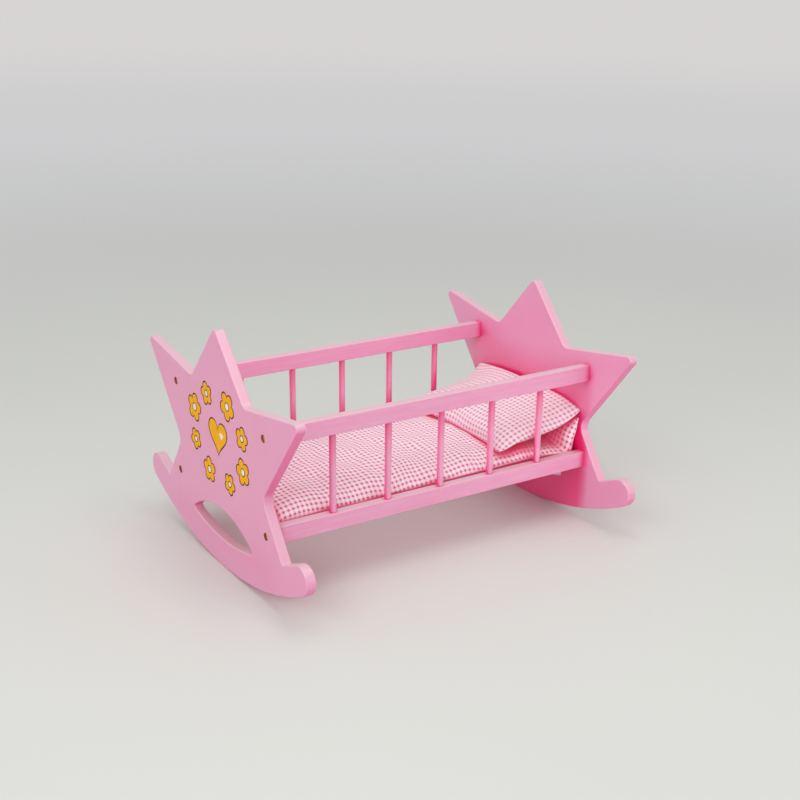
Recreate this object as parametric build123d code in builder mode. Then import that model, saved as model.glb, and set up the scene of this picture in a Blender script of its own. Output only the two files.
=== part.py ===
from build123d import *
from math import asin, atan2, cos, hypot, radians, sin, sqrt, tan
import os

# Doll's rocking cradle in painted wood, with a quilt and a pillow.
# Millimetres. X runs along the bed with the head end at +X, Y runs across it with the near side
# at -Y, and Z is up. The origin is on the floor under the middle of the bed.

# Bed frame
inner_length = 440.0
side_spacing = 228.0
lower_rail_bottom = 75.0
upper_rail_bottom = 190.4

# Rails
rail_thickness = 12.0
rail_height = 20.5
rail_edge_radius = 1.2

# Spindles, plain dowels tenoned into the rails
spindles_a_side = 5
spindle_diameter = 8.0
tenon_length = 8.0
tenon_clearance = 0.1
tenon_end_gap = 0.3
tenon_chamfer = 0.6

# End panels: a star above, a rocker below. The star's outline is set out from the rails that it holds
panel_thickness = 12.0
panel_edge_radius = 1.5
apex_rise = 84.7
apex_radius = 7.0
shoulder_rise = 9.2
shoulder_radius = 13.0
point_overhang = 83.3
point_rise = 30.2
point_radius = 6.0
waist_inset = 6.3
waist_rise = 31.3
waist_radius = 16.0
foot_notch_overhang = 37.0
foot_notch_drop = 9.4
foot_notch_radius = 3.0
rocker_radius = 429.2
rocker_tip_radius = 17.5
rocker_tip_reach = 37.5

# Crescent hand-hole in each end panel, with its heights above the floor
crescent_tip_height = 48.5
crescent_top_height = 75.5
crescent_bottom_height = 36.5
crescent_tip_radius = 3.0

# Wood screws that hold the rails
screw_length = 40.0
screw_diameter = 4.0
screw_head_diameter = 8.0
screw_head_angle = 90.0
screw_tip_length = 5.0
screw_tip_flat = 0.3
drive_slot_length = 4.6
drive_slot_width = 0.9
drive_slot_depth = 1.6
recess_diameter = 9.4
recess_depth = 2.5
screw_hole_clearance = 0.25
pilot_clearance = 0.05
pilot_end_gap = 0.5

# Base board, let into grooves in the lower rails
board_thickness = 3.0
board_end_gap = 0.5
groove_height_above_rail_bottom = 4.0
groove_depth = 4.0
groove_play = 0.2
groove_side_play = 0.4

# Quilt, with its head end turned up against the headboard
soft_gap = 0.3
quilt_side_gap = 1.5
quilt_end_gap = 1.5
quilt_side_height = 23.0
quilt_crown_rise = 7.0
quilt_turn_inner_radius = 3.0
quilt_turn_angle = 84.0
quilt_turned_length = 40.0

# Pillow, lying on the quilt and leaning on its turned-up end
pillow_reach = 118.0
pillow_side_height = 20.0
pillow_crown_rise = 10.0
pillow_side_gap = 2.5
pillow_end_gap = 1.0

# Every cut runs this far past the face that it leaves
overrun = 1.0

# Parts of the end panel's outline, as shares of the distance from the middle to the rails
shoulder_width_share = 0.598
crescent_width_share = 0.71

# How far a padded piece's rounded side leans in, as a share of its height
side_lean_share = 0.25

# Places along the flat of the quilt from the foot end to the turn, with its drawn-in width and its height
quilt_place_shares = (0.0, 0.045, 0.16, 0.42, 0.72, 0.90, 1.0)
quilt_width_shares = (1.0, 0.985, 0.965, 0.955, 0.96, 0.975, 0.98)
quilt_rise_shares = (0.27, 0.66, 0.94, 1.0, 0.97, 0.68, 0.50)

# The same along the turned-up end, from the turn to the hem
turned_place_shares = (0.0, 0.4, 0.8, 1.0)
turned_width_shares = (0.98, 0.98, 0.99, 1.0)
turned_rise_shares = (0.50, 0.46, 0.38, 0.24)

# Places across half the pillow, from the middle to the side, with its drawn-in depth and its height
pillow_place_shares = (0.0, 0.40, 0.74, 0.93, 1.0)
pillow_depth_shares = (0.965, 0.97, 0.98, 0.99, 1.0)
pillow_rise_shares = (1.0, 0.98, 0.88, 0.62, 0.34)

# Height of the quilt under the pillow's foot edge
pillow_foot_rise_share = 0.95

# Sizes worked out from the ones above
half_length = inner_length / 2
side_middle = side_spacing / 2
side_inner_face = side_middle - rail_thickness / 2
lower_rail_top = lower_rail_bottom + rail_height
upper_rail_top = upper_rail_bottom + rail_height
spindle_pitch = inner_length / (spindles_a_side + 1)
tenon_hole_depth = tenon_length + tenon_end_gap
tenon_hole_radius = spindle_diameter / 2 + tenon_clearance
screw_points = [
    (side * side_middle, bottom + rail_height / 2)
    for side in (-1, 1)
    for bottom in (lower_rail_bottom, upper_rail_bottom)
]
screw_head_radius = screw_head_diameter / 2
screw_radius = screw_diameter / 2
groove_bottom = lower_rail_bottom + groove_height_above_rail_bottom
groove_height = board_thickness + groove_play
board_half_width = side_inner_face + groove_depth - groove_side_play


def finish(part, name):
    """Label a finished piece and write it to its own file."""
    part.label = name
    export_step(part, f"parts/{name}.step")


def end_plane(end):
    """The inner face of an end panel, looking out of the bed. Local x runs across, local y is up."""
    return Plane(origin=(end * half_length, 0, 0), x_dir=(0, end, 0), z_dir=(end, 0, 0))


def rocker_outline(notch):
    """Where the edge that leaves the foot notch meets the rocker's rounded tip, where the tip
    meets the long arc that rolls on the floor, and the direction of that edge."""
    reach = rocker_radius - rocker_tip_radius
    tip_place = notch[0] + rocker_tip_reach
    tip_height = rocker_radius - sqrt(reach**2 - tip_place**2)
    rise = tip_height - notch[1]
    distance = hypot(rocker_tip_reach, rise)
    slope = atan2(rise, rocker_tip_reach) + asin(rocker_tip_radius / distance)
    straight = sqrt(distance**2 - rocker_tip_radius**2)
    top = (notch[0] + straight * cos(slope), notch[1] + straight * sin(slope))
    spread = asin(tip_place / reach)
    heel = (rocker_radius * sin(spread), rocker_radius * (1 - cos(spread)))
    return top, heel, (cos(slope), sin(slope))


def mirrored(point):
    return (-point[0], point[1])


def end_panel(name, end):
    """One end panel, with its crescent hand-hole and the recessed holes for four screws."""
    plane = end_plane(end)
    outer_plane = plane.offset(panel_thickness)
    notch = (side_middle + foot_notch_overhang, lower_rail_bottom - foot_notch_drop)
    corners = [
        notch,
        (side_middle - waist_inset, lower_rail_top + waist_rise),
        (side_middle + point_overhang, upper_rail_top + point_rise),
        (side_middle * shoulder_width_share, upper_rail_top + shoulder_rise),
    ]
    radii = [foot_notch_radius, waist_radius, point_radius, shoulder_radius]
    apex = (0, upper_rail_top + apex_rise)
    tip_top, heel, tip_direction = rocker_outline(notch)
    star = [tip_top, *corners, apex, *map(mirrored, corners[::-1]), mirrored(tip_top)]
    crescent_tip = (side_middle * crescent_width_share, crescent_tip_height)

    with BuildPart() as panel:
        with BuildSketch(plane):
            with BuildLine():
                FilletPolyline(*star, radius=[*radii, apex_radius, *radii[::-1]])
                TangentArc(tip_top, heel, tangent=tip_direction)
                ThreePointArc(heel, (0, 0), mirrored(heel))
                TangentArc(
                    mirrored(tip_top), mirrored(heel), tangent=(-tip_direction[0], tip_direction[1])
                )
            make_face()
            with BuildSketch(mode=Mode.SUBTRACT) as crescent:
                with BuildLine():
                    ThreePointArc(mirrored(crescent_tip), (0, crescent_top_height), crescent_tip)
                    ThreePointArc(crescent_tip, (0, crescent_bottom_height), mirrored(crescent_tip))
                make_face()
                fillet(crescent.vertices(), radius=crescent_tip_radius)
        extrude(amount=panel_thickness)
        faces = panel.faces().filter_by(Axis.X)
        fillet(faces.edges(), radius=panel_edge_radius)
        with Locations(outer_plane):
            with Locations(*screw_points):
                Hole(recess_diameter / 2, depth=recess_depth)
        with Locations(outer_plane.offset(-recess_depth)):
            with Locations(*screw_points):
                CounterSinkHole(
                    screw_radius + screw_hole_clearance,
                    screw_head_radius,
                    depth=panel_thickness - recess_depth,
                    counter_sink_angle=screw_head_angle,
                )
    finish(panel.part, name)


def rail(name, side, bottom, spindle_face, spindle_direction, grooved=False):
    """One rail between the end panels, drilled for the spindles and for a screw at each end."""
    middle = side * side_middle
    centre_height = bottom + rail_height / 2
    spindle_plane = Plane(
        origin=(0, middle, spindle_face), x_dir=(1, 0, 0), z_dir=(0, 0, spindle_direction)
    )
    pilot_depth = screw_length - (panel_thickness - recess_depth) + pilot_end_gap
    with BuildPart() as bar:
        with BuildSketch(Plane.YZ.offset(-half_length)):
            with Locations((middle, centre_height)):
                RectangleRounded(rail_thickness, rail_height, rail_edge_radius)
        extrude(amount=inner_length)
        with Locations(spindle_plane):
            with GridLocations(spindle_pitch, spindle_pitch, spindles_a_side, 1):
                Hole(tenon_hole_radius, depth=tenon_hole_depth)
        for end in (-1, 1):
            with Locations(end_plane(end)):
                with Locations((end * middle, centre_height)):
                    Hole(screw_radius + pilot_clearance, depth=pilot_depth)
        if grooved:
            groove_middle = side * (side_inner_face + (groove_depth - overrun) / 2)
            with BuildSketch(Plane.YZ.offset(-half_length)):
                with Locations((groove_middle, groove_bottom + groove_height / 2)):
                    Rectangle(groove_depth + overrun, groove_height)
            extrude(amount=inner_length, mode=Mode.SUBTRACT)
    finish(bar.part, name)


def spindle(name, side, place):
    """One dowel, seated on the bottom of its hole in the lower rail."""
    foot = lower_rail_top - tenon_hole_depth
    length = upper_rail_bottom - lower_rail_top + tenon_hole_depth + tenon_length
    with BuildPart() as dowel:
        with BuildSketch(Plane.XY.offset(foot)):
            with Locations((place, side * side_middle)):
                Circle(spindle_diameter / 2)
        extrude(amount=length)
        chamfer(dowel.edges().filter_by(GeomType.CIRCLE), length=tenon_chamfer)
    finish(dowel.part, name)


def screws(name, end):
    """Four countersunk wood screws with a cross recess, seated in one end panel."""
    seat_plane = end_plane(end).offset(panel_thickness - recess_depth)
    cone_depth = (screw_head_radius - screw_radius) / tan(radians(screw_head_angle / 2))
    with BuildPart() as screw:
        with BuildSketch(Plane.XZ) as half_profile:
            with BuildLine():
                Polyline(
                    (0, 0),
                    (screw_head_radius, 0),
                    (screw_radius, -cone_depth),
                    (screw_radius, screw_tip_length - screw_length),
                    (screw_tip_flat, -screw_length),
                    (0, -screw_length),
                    close=True,
                )
            make_face()
        revolve(half_profile.sketch, axis=Axis.Z)
        with BuildSketch(Plane.XY.offset(-drive_slot_depth)):
            Rectangle(drive_slot_length, drive_slot_width)
            Rectangle(drive_slot_width, drive_slot_length)
        extrude(amount=drive_slot_depth + overrun, mode=Mode.SUBTRACT)
    with BuildPart() as group:
        with Locations(seat_plane):
            with Locations(*screw_points):
                add(screw.part)
    finish(group.part, name)


def base_board():
    """Thin sheet that rests in the grooves of both lower rails."""
    with BuildPart() as board:
        with BuildSketch(Plane.XY.offset(groove_bottom)):
            Rectangle(inner_length - 2 * board_end_gap, 2 * board_half_width)
        extrude(amount=board_thickness)
    finish(board.part, "base_board")


def padded_section(plane, width, side_height, crown_height):
    """Flat underneath, with rounded sides and a crowned top. The plane's local y is up."""
    half_width = width / 2
    corner = half_width - side_height * side_lean_share
    with BuildSketch(plane) as section:
        with BuildLine():
            Line((-corner, 0), (corner, 0))
            ThreePointArc((corner, 0), (half_width, side_height / 2), (corner, side_height))
            ThreePointArc((corner, side_height), (0, crown_height), (-corner, side_height))
            ThreePointArc((-corner, side_height), (-half_width, side_height / 2), (-corner, 0))
        make_face()
    return section.sketch


quilt_bottom = groove_bottom + board_thickness + soft_gap
quilt_width = 2 * (side_inner_face - quilt_side_gap)
quilt_crown = quilt_side_height + quilt_crown_rise
quilt_turn_radius = quilt_rise_shares[-1] * quilt_crown + quilt_turn_inner_radius
quilt_foot = quilt_end_gap - half_length
turn = radians(quilt_turn_angle)
turn_place = (
    half_length - quilt_end_gap - quilt_turn_radius * sin(turn) - quilt_turned_length * cos(turn)
)
flat_length = turn_place - quilt_foot


def quilt_plane(angle, advance):
    """A plane across the quilt, past the middle of the turn by an angle and then straight on."""
    return Plane(
        origin=(
            turn_place + quilt_turn_radius * sin(angle) + advance * cos(angle),
            0,
            quilt_bottom + quilt_turn_radius * (1 - cos(angle)) + advance * sin(angle),
        ),
        x_dir=(0, 1, 0),
        z_dir=(cos(angle), 0, sin(angle)),
    )


def quilt_sections(angle, length, start, places, widths, rises):
    return [
        padded_section(
            quilt_plane(angle, start + place * length),
            width * quilt_width,
            rise * quilt_side_height,
            rise * quilt_crown,
        )
        for place, width, rise in zip(places, widths, rises)
    ]


def quilt():
    """A crowned cover that fills the bed: a flat stretch, a turn and a turned-up end."""
    flat = quilt_sections(
        0, flat_length, -flat_length, quilt_place_shares, quilt_width_shares, quilt_rise_shares
    )
    turned = quilt_sections(
        turn, quilt_turned_length, 0, turned_place_shares, turned_width_shares, turned_rise_shares
    )
    turn_axis = Axis((turn_place, 0, quilt_bottom + quilt_turn_radius), (0, -1, 0))
    with BuildPart() as cover:
        loft(flat)
        revolve(flat[-1], axis=turn_axis, revolution_arc=quilt_turn_angle)
        loft(turned)
    finish(cover.part, "quilt")


def pillow():
    """A stuffed pillow that drapes over the quilt's crown and leans on its turned-up end."""
    turned_edge = quilt_plane(turn, quilt_turned_length).from_local_coords(
        (0, turned_rise_shares[-1] * quilt_crown)
    )
    head = half_length - pillow_end_gap
    foot = head - pillow_reach
    half_width = side_inner_face - pillow_side_gap
    pillow_crown = pillow_side_height + pillow_crown_rise
    places = [-place for place in pillow_place_shares[:0:-1]] + [*pillow_place_shares]
    depths = [*pillow_depth_shares[:0:-1], *pillow_depth_shares]
    rises = [*pillow_rise_shares[:0:-1], *pillow_rise_shares]
    sections = []
    for place, depth, rise in zip(places, depths, rises):
        quilt_top = quilt_crown - place**2 * (quilt_crown - quilt_side_height)
        seat = quilt_bottom + pillow_foot_rise_share * quilt_top + soft_gap
        tilt = atan2(turned_edge.Z + soft_gap - seat, turned_edge.X - foot)
        slope = Plane(
            origin=((head + foot) / 2, place * half_width, seat + pillow_reach / 2 * tan(tilt)),
            x_dir=(cos(tilt), 0, sin(tilt)),
            z_dir=(0, -1, 0),
        )
        sections.append(
            padded_section(
                slope,
                depth * pillow_reach / cos(tilt),
                rise * pillow_side_height,
                rise * pillow_crown,
            )
        )
    with BuildPart() as cushion:
        loft(sections)
    finish(cushion.part, "pillow")


os.makedirs("parts", exist_ok=True)

end_panel("footboard", -1)
end_panel("headboard", 1)
for side_name, side in (("near", -1), ("far", 1)):
    rail(f"{side_name}_top_rail", side, upper_rail_bottom, upper_rail_bottom, -1)
    rail(f"{side_name}_bottom_rail", side, lower_rail_bottom, lower_rail_top, 1, grooved=True)
    for number in range(spindles_a_side):
        place = (number + 1) * spindle_pitch - half_length
        spindle(f"{side_name}_spindle_{number + 1}", side, place)
screws("foot_screws", -1)
screws("head_screws", 1)
base_board()
quilt()
pillow()
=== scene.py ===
# %% [markdown]
# # A doll's rocking cradle
# The cradle is painted wood: two star-shaped end boards on rockers, four rails, ten dowels and a
# thin base board, with a quilt and a pillow in cotton gingham. Its wooden pieces come ready made
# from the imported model, which is the fixed frame of this scene. The steps below light that frame,
# paint it, print the foot end, and sew and stuff the bedding. Lengths are in metres, X runs from
# the foot end to the head end, Y across the bed and Z up from the floor.

# %% Load the frame
import math

import bmesh
import bpy
import numpy as np
from mathutils import Matrix, Vector
from mathutils.bvhtree import BVHTree


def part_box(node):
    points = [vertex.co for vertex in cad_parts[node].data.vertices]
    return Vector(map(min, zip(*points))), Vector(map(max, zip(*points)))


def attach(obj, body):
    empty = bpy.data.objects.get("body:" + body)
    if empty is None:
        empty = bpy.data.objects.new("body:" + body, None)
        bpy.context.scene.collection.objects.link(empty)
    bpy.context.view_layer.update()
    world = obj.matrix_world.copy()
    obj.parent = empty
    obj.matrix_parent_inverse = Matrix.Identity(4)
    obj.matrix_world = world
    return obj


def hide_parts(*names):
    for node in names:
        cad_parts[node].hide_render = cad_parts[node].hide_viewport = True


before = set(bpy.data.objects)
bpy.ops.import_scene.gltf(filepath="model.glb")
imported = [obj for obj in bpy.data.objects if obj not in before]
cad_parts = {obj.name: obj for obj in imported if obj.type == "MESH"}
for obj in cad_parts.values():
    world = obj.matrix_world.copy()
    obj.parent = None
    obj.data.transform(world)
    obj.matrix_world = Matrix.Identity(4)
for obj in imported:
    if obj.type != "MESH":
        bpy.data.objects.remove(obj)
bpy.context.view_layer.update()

MM = 0.001

# %% [markdown]
# ## The camera
# The photographer stood in front of the foot end, a little left of it, and looked down into the
# bed. The place, the two angles and the focal length below were worked out from the straight
# edges of the boards and rails. The picture was cropped, so its optical axis isn't quite at its
# middle, and the lens is shifted by that much and no more.

# %% Camera
picture_width = 800
focal_length_pixels = 1256.0
axis_pixel = (399.4, 454.8)
camera_place = Vector((-0.7953, -1.2366, 0.6826))
camera_turn = math.radians(-33.30)
camera_pitch = math.radians(21.76)
camera_roll = math.radians(0.85)

camera_data = bpy.data.cameras.new("photo_camera")
camera_data.lens = focal_length_pixels / picture_width * camera_data.sensor_width
camera_data.shift_x = (picture_width / 2 - axis_pixel[0]) / picture_width
camera_data.shift_y = (axis_pixel[1] - picture_width / 2) / picture_width
camera = bpy.data.objects.new("photo_camera", camera_data)
bpy.context.scene.collection.objects.link(camera)
camera.matrix_world = (
    Matrix.Translation(camera_place)
    @ Matrix.Rotation(camera_turn, 4, "Z")
    @ Matrix.Rotation(math.pi / 2 - camera_pitch, 4, "X")
    @ Matrix.Rotation(camera_roll, 4, "Z")
)
bpy.context.scene.camera = camera
print("Lens:", round(camera_data.lens, 2), "mm")

# %% [markdown]
# ## Colours and nodes
# Colours are picked as sRGB hex values, the way a screen shows them, but shaders work with linear
# light, so one function turns them over. Materials could be drawn by hand in the node editor.
# Written down, they can be read from top to bottom, and one small function is enough for it: it
# adds a node, whose settings are plain options, and each input is a number or another output.

# %% Helpers for materials
def linear(hex_colour):
    """An sRGB colour such as '#E8B4C8' as linear red, green and blue, with an alpha of 1."""
    shares = [int(hex_colour[start:start + 2], 16) / 255 for start in (1, 3, 5)]
    return (*(share / 12.92 if share <= 0.04045 else ((share + 0.055) / 1.055) ** 2.4
              for share in shares), 1.0)


def add(material, kind, inputs=(), **settings):
    """Add a node of a kind to a material, and fill or link its inputs."""
    made = material.node_tree.nodes.new("ShaderNode" + kind)
    for option, value in settings.items():
        setattr(made, option, value)
    for socket, value in dict(inputs).items():
        if isinstance(value, bpy.types.NodeSocket):
            material.node_tree.links.new(value, made.inputs[socket])
        else:
            made.inputs[socket].default_value = value
    return made


def new_material(name):
    """An empty material and its output node."""
    material = bpy.data.materials.new(name)
    material.use_nodes = True
    material.node_tree.nodes.clear()
    return material, add(material, "OutputMaterial")


def per_metre(millimetres):
    """The noise scale that gives features of this size."""
    return 1 / (millimetres * MM)


# %% [markdown]
# ## Floor and light
# The cradle stands on a plain pale floor that runs on past the picture. Small wooden toys are
# mostly photographed under large soft panels, in a room that is bright all round: the panels
# draw the short shadows under the rails, and the bright room lays a pale gleam on every face
# that is seen at a slant. One lamp would draw hard shadows, and a sky alone would draw none. So
# there are two large panels here, overhead and in front, and a sky that is brightest at the
# horizon. The floor is matt background paper, which shows soft shadows and no reflections. A few
# metres off it fades into the sky, so no hard horizon crosses the picture.
#
# Three cards do what a photographer's reflectors do. One at the low right lifts the near
# rails. A narrow one at the low left reaches the fold of the quilt under the pillow, and a grid
# in front of it keeps its light off the rails. The one under the bed takes the pink out of the
# light there. Pink boards that face each other pass light to and fro and turn it redder each
# time, and the tracer finds that by itself.
# The lacquer's tints add painted shade on top of that.

# %% Floor
horizon_colour = "#FFFCFB"
zenith_colour = "#E6E8EC"
sky_strength = 0.68
floor_half_width = 40.0
floor_corners = [
    (x * floor_half_width, y * floor_half_width, 0)
    for x, y in ((-1, -1), (1, -1), (1, 1), (-1, 1))]
floor_mesh = bpy.data.meshes.new("floor")
floor_mesh.from_pydata(floor_corners, [], [(0, 1, 2, 3)])
floor = bpy.data.objects.new("floor", floor_mesh)
bpy.context.scene.collection.objects.link(floor)
print("Floor:", 2 * floor_half_width, "m across")

# %% Floor paper
paper_cloud_size = 900
# Distances in metres from the cradle at which each change starts and is complete
turns_white = {"From Min": 0.7, "From Max": 4.0}
turns_to_sky = {"From Min": 2.5, "From Max": 9.0}

pale_floor, output = new_material("pale_matt_floor")
place = add(pale_floor, "TexCoord")
clouds = add(pale_floor, "TexNoise", {
    "Vector": place.outputs["Object"], "Scale": per_metre(paper_cloud_size), "Detail": 2.0})
tint = add(pale_floor, "Mix", {
    "Factor": clouds.outputs["Fac"], "A": linear("#D6D8D2"), "B": linear("#DBDDD7")},
    data_type="RGBA")
distance = add(pale_floor, "VectorMath", {0: place.outputs["Object"]}, operation="LENGTH")
sweep = add(pale_floor, "MapRange", {
    "Value": distance.outputs["Value"], **turns_white}, interpolation_type="SMOOTHSTEP")
tint = add(pale_floor, "Mix", {
    "Factor": sweep.outputs[0], "A": tint.outputs["Result"], "B": linear("#FFFFFF")},
    data_type="RGBA")
shader = add(pale_floor, "BsdfPrincipled", {"Base Color": tint.outputs["Result"], "Roughness": 0.8})
haze = add(pale_floor, "Emission", {"Color": linear(horizon_colour), "Strength": sky_strength})
far_off = add(pale_floor, "MapRange", {
    "Value": distance.outputs["Value"], **turns_to_sky}, interpolation_type="SMOOTHSTEP")
surface = add(pale_floor, "MixShader", {
    0: far_off.outputs[0], 1: shader.outputs["BSDF"], 2: haze.outputs["Emission"]})
pale_floor.node_tree.links.new(surface.outputs["Shader"], output.inputs["Surface"])
floor_mesh.materials.append(pale_floor)
print("Floor paper fades into the sky from", turns_to_sky["From Min"], "m on")

# %% Lights
bed_middle = Vector((0, 0, 0.15))


def softbox(name, place, width, height, watts, colour, target=bed_middle, spread=math.pi):
    """A rectangular light aimed at the middle of the bed, or somewhere else."""
    data = bpy.data.lights.new(name, "AREA")
    data.shape = "RECTANGLE"
    data.size = width
    data.size_y = height
    data.energy = watts
    data.spread = spread
    data.color = linear(colour)[:3]
    light = bpy.data.objects.new(name, data)
    light.location = place
    light.rotation_euler = (target - light.location).to_track_quat("-Z", "Y").to_euler()
    bpy.context.scene.collection.objects.link(light)
    print(name, watts, "W at", [round(c, 2) for c in place])


near_rail_middle = Vector((0.15, -0.1, 0.1))
fold_under_pillow = Vector((0.19, -0.11, 0.125))
floor_middle = Vector((0, 0, 0))
grid_angle = math.radians(12)
softbox("overhead_softbox", Vector((-0.15, -0.5, 2.1)), 1.5, 1.5, 16, "#FFFDFA")
softbox("front_softbox", Vector((-1.65, -1.0, 1.5)), 1.3, 1.1, 12.4, "#FBF9FF")
softbox("low_right_card", Vector((1.1, -1.5, 0.5)), 1.0, 0.7, 2.7, "#FFF7F8", near_rail_middle)
softbox("low_left_card", Vector((-0.7, -1.3, 0.3)), 0.25, 0.12, 0.022, "#FFF7F8",
        fold_under_pillow, grid_angle)
softbox("card_under_the_bed", Vector((0, 0, 0.074)), 0.34, 0.18, 0.08, "#E6FFF8", floor_middle)

# %% Sky
sky = bpy.data.worlds.new("studio_sky")
sky.use_nodes = True
sky_light = sky.node_tree.nodes["Background"]
direction = add(sky, "TexCoord")
rise = add(sky, "SeparateXYZ", {0: direction.outputs["Generated"]})
dimming = add(sky, "MapRange", {"Value": rise.outputs["Z"], "From Min": 0.1, "From Max": 0.9})
tone = add(sky, "Mix", {
    "Factor": dimming.outputs[0], "A": linear(horizon_colour), "B": linear(zenith_colour)},
    data_type="RGBA")
sky.node_tree.links.new(tone.outputs["Result"], sky_light.inputs["Color"])
sky_light.inputs["Strength"].default_value = sky_strength
bpy.context.scene.world = sky
bpy.context.scene.view_settings.view_transform = "Standard"
print("Sky strength:", sky_strength)

# %% [markdown]
# ## Pink lacquer
# The wood is sprayed with a satin lacquer, pigmented pink. That gives a smooth closed film with a
# soft gleam. On the rails and dowels it shows faint streaks of grain, and everywhere a slight
# orange peel, which is drawn here two or three times as coarse as it is, because the real one is
# under a millimetre. Rounded edges hold less paint, so they are a little paler. They could be
# painted by hand on a map, but every change to a board would need a new one. How round a place is
# can be read from its normal: on a board cut from a flat sheet, a normal that is neither straight
# out of the sheet nor square to it belongs to a rounded edge.
#
# The pinks vary more than this scene's light alone gives, so light and shade are painted into the
# lacquer as tints. The photo's pinks differ by more than light alone would give. Faces that look
# up get a painted pale gleam, faces that look down get painted deep magenta shade, and so does the
# dowels' side towards the foot. In corners where two boards meet the painted shade is hottest. The
# first three tints follow the way that a face looks, and the fourth follows how much of the space
# round a place is filled, which the shader measures itself. On the end boards the fourth keeps to
# the faces between the rails and below the top ones, and fades out low on the rockers, since the
# floor isn't a part of the cradle. On the dowels it adds the top rail's painted shadow near their
# tops. Painted shade also covers the dark faces that the end boards turn to each other under the
# bed, and the walls of the screw recesses are painted dark brown as shade.

# %% Lacquer colours and sizes
lacquer_pink = "#F39FC5"
lacquer_deep = "#EE94BC"
lacquer_worn = "#F9B9D3"
lacquer_streak = "#EFB3CF"
# Painted shade, hottest in corners, under the bed and at the dowels' tops
lacquer_painted_shade = "#EC1F78"
# Painted shade, dark brown, on the walls of the screw recesses
recess_wall_painted_shade = "#9A5234"
# Painted light: a pale gleam on upward faces, shade on downward ones and on the dowels' foot side
# A tint, the axis of the normal that it follows, where it starts and is full, and its strength
painted_gleam_on_upward_faces = ("#E2BBC3", "Z", 0.1, 0.9, 0.8)
painted_shade_on_downward_faces = ("#F64E9E", "Z", -0.1, -0.6, 0.7)
painted_shade_on_dowel_foot_side = ("#FA3F92", "X", -0.3, -0.9, 0.6)
# Sizes in mm of what varies over the paint
cloud_size = 70
peel_size = 2.2
worn_patch_size = 9
grain_size = 45
grain_stretch = 22.0
print("Faces are", painted_gleam_on_upward_faces[0], "above,", painted_shade_on_downward_faces[0], "below and", painted_shade_on_dowel_foot_side[0],
      "on the dowels' foot side")


# %% Grain
def wood_grain(paint, place, grain_direction):
    """Noise that is drawn out along the grain."""
    stretch = [1.0 if axis == grain_direction else grain_stretch for axis in "XYZ"]
    along = add(paint, "Mapping", {"Vector": place.outputs["Object"], "Scale": stretch})
    grain = add(paint, "TexNoise", {
        "Vector": along.outputs["Vector"], "Scale": per_metre(grain_size), "Detail": 4.0})
    return grain.outputs["Fac"]


# %% Where the lacquer is thin
# A squared part of the normal is 1 on a flat face. Wear starts where the largest has fallen to
# the first of these, and is full at the second.
wears_between = (0.95, 0.6)


def worn_edge(paint, place, squares, grain_direction):
    """High on rounded edges, in patches. The squares are those of the normal's three parts, and
    add up to 1, so on a board the others together are what the first one lacks."""
    if grain_direction:
        steepest = add(paint, "Math", {0: squares[1], 1: squares[2]}, operation="MAXIMUM").outputs[0]
    else:
        steepest = add(paint, "Math", {0: squares[0], 1: 0.5}, operation="SUBTRACT").outputs[0]
        steepest = add(paint, "Math", {0: steepest}, operation="ABSOLUTE").outputs[0]
        steepest = add(paint, "Math", {0: steepest, 1: 0.5}, operation="ADD").outputs[0]
    edge = add(paint, "MapRange", {
        "Value": steepest, "From Min": wears_between[0], "From Max": wears_between[1]})
    patchy = add(paint, "TexNoise", {
        "Vector": place.outputs["Object"], "Scale": per_metre(worn_patch_size), "Detail": 3.0})
    worn = add(paint, "Math", {0: edge.outputs[0], 1: patchy.outputs["Fac"]}, operation="MULTIPLY")
    return worn.outputs[0]


# %% Painted gleam and shade that follow the way that a face looks
def painted_light_by_facing(paint, normal, grain_direction):
    """A painted gleam where a face looks up, and painted shade where it looks down or, on a
    dowel, towards the foot, each with its tint.
    """
    rows = [painted_gleam_on_upward_faces, painted_shade_on_downward_faces]
    if grain_direction == "Z":
        rows.append(painted_shade_on_dowel_foot_side)
    tints = []
    for tint, axis, starts_at, full_at, strength in rows:
        facing = add(paint, "MapRange", {
            "Value": normal.outputs[axis], "From Min": starts_at, "From Max": full_at,
            "To Max": strength})
        tints.append((facing.outputs[0], tint))
    return tints


# %% Where shade is painted into the lacquer
# Each pair says where a tint has faded out and where it is full: in metres, except the first two,
# which are the share of open space, and the square of the normal's part across the board
in_filled_space = (0.9, 0.5)
on_the_faces = (0.2, 0.6)
off_the_floor = (20 * MM, 80 * MM)
between_the_rails = (132 * MM, 120 * MM)
below_the_top_rails = (224 * MM, 196 * MM)
# Heights at which the top rail's painted shadow on a dowel starts and is full
up_to_the_top_rail = (150 * MM, 190 * MM)


def painted_shade_where_filled(paint, reach, spot, squares, across=None):
    """Painted shade, high where the space within reach of a place is filled. An end board gives its
    distance across from the middle too, and there this keeps to the faces between the rails."""
    shelter = add(paint, "AmbientOcclusion", {"Distance": reach}, samples=8)
    filled = add(paint, "MapRange", {
        "Value": shelter.outputs["AO"], "From Min": in_filled_space[0],
        "From Max": in_filled_space[1]}, interpolation_type="SMOOTHSTEP")
    filled_shade = filled.outputs[0]
    limits = [(spot.outputs["Z"], off_the_floor)]
    if across is not None:
        limits += [(squares[0], on_the_faces), (across, between_the_rails),
                   (spot.outputs["Z"], below_the_top_rails)]
    for value, (nothing_at, all_at) in limits:
        there = add(paint, "MapRange", {"Value": value, "From Min": nothing_at, "From Max": all_at})
        filled_shade = add(paint, "Math", {
            0: filled_shade, 1: there.outputs[0]}, operation="MULTIPLY").outputs[0]
    return filled_shade


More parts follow.
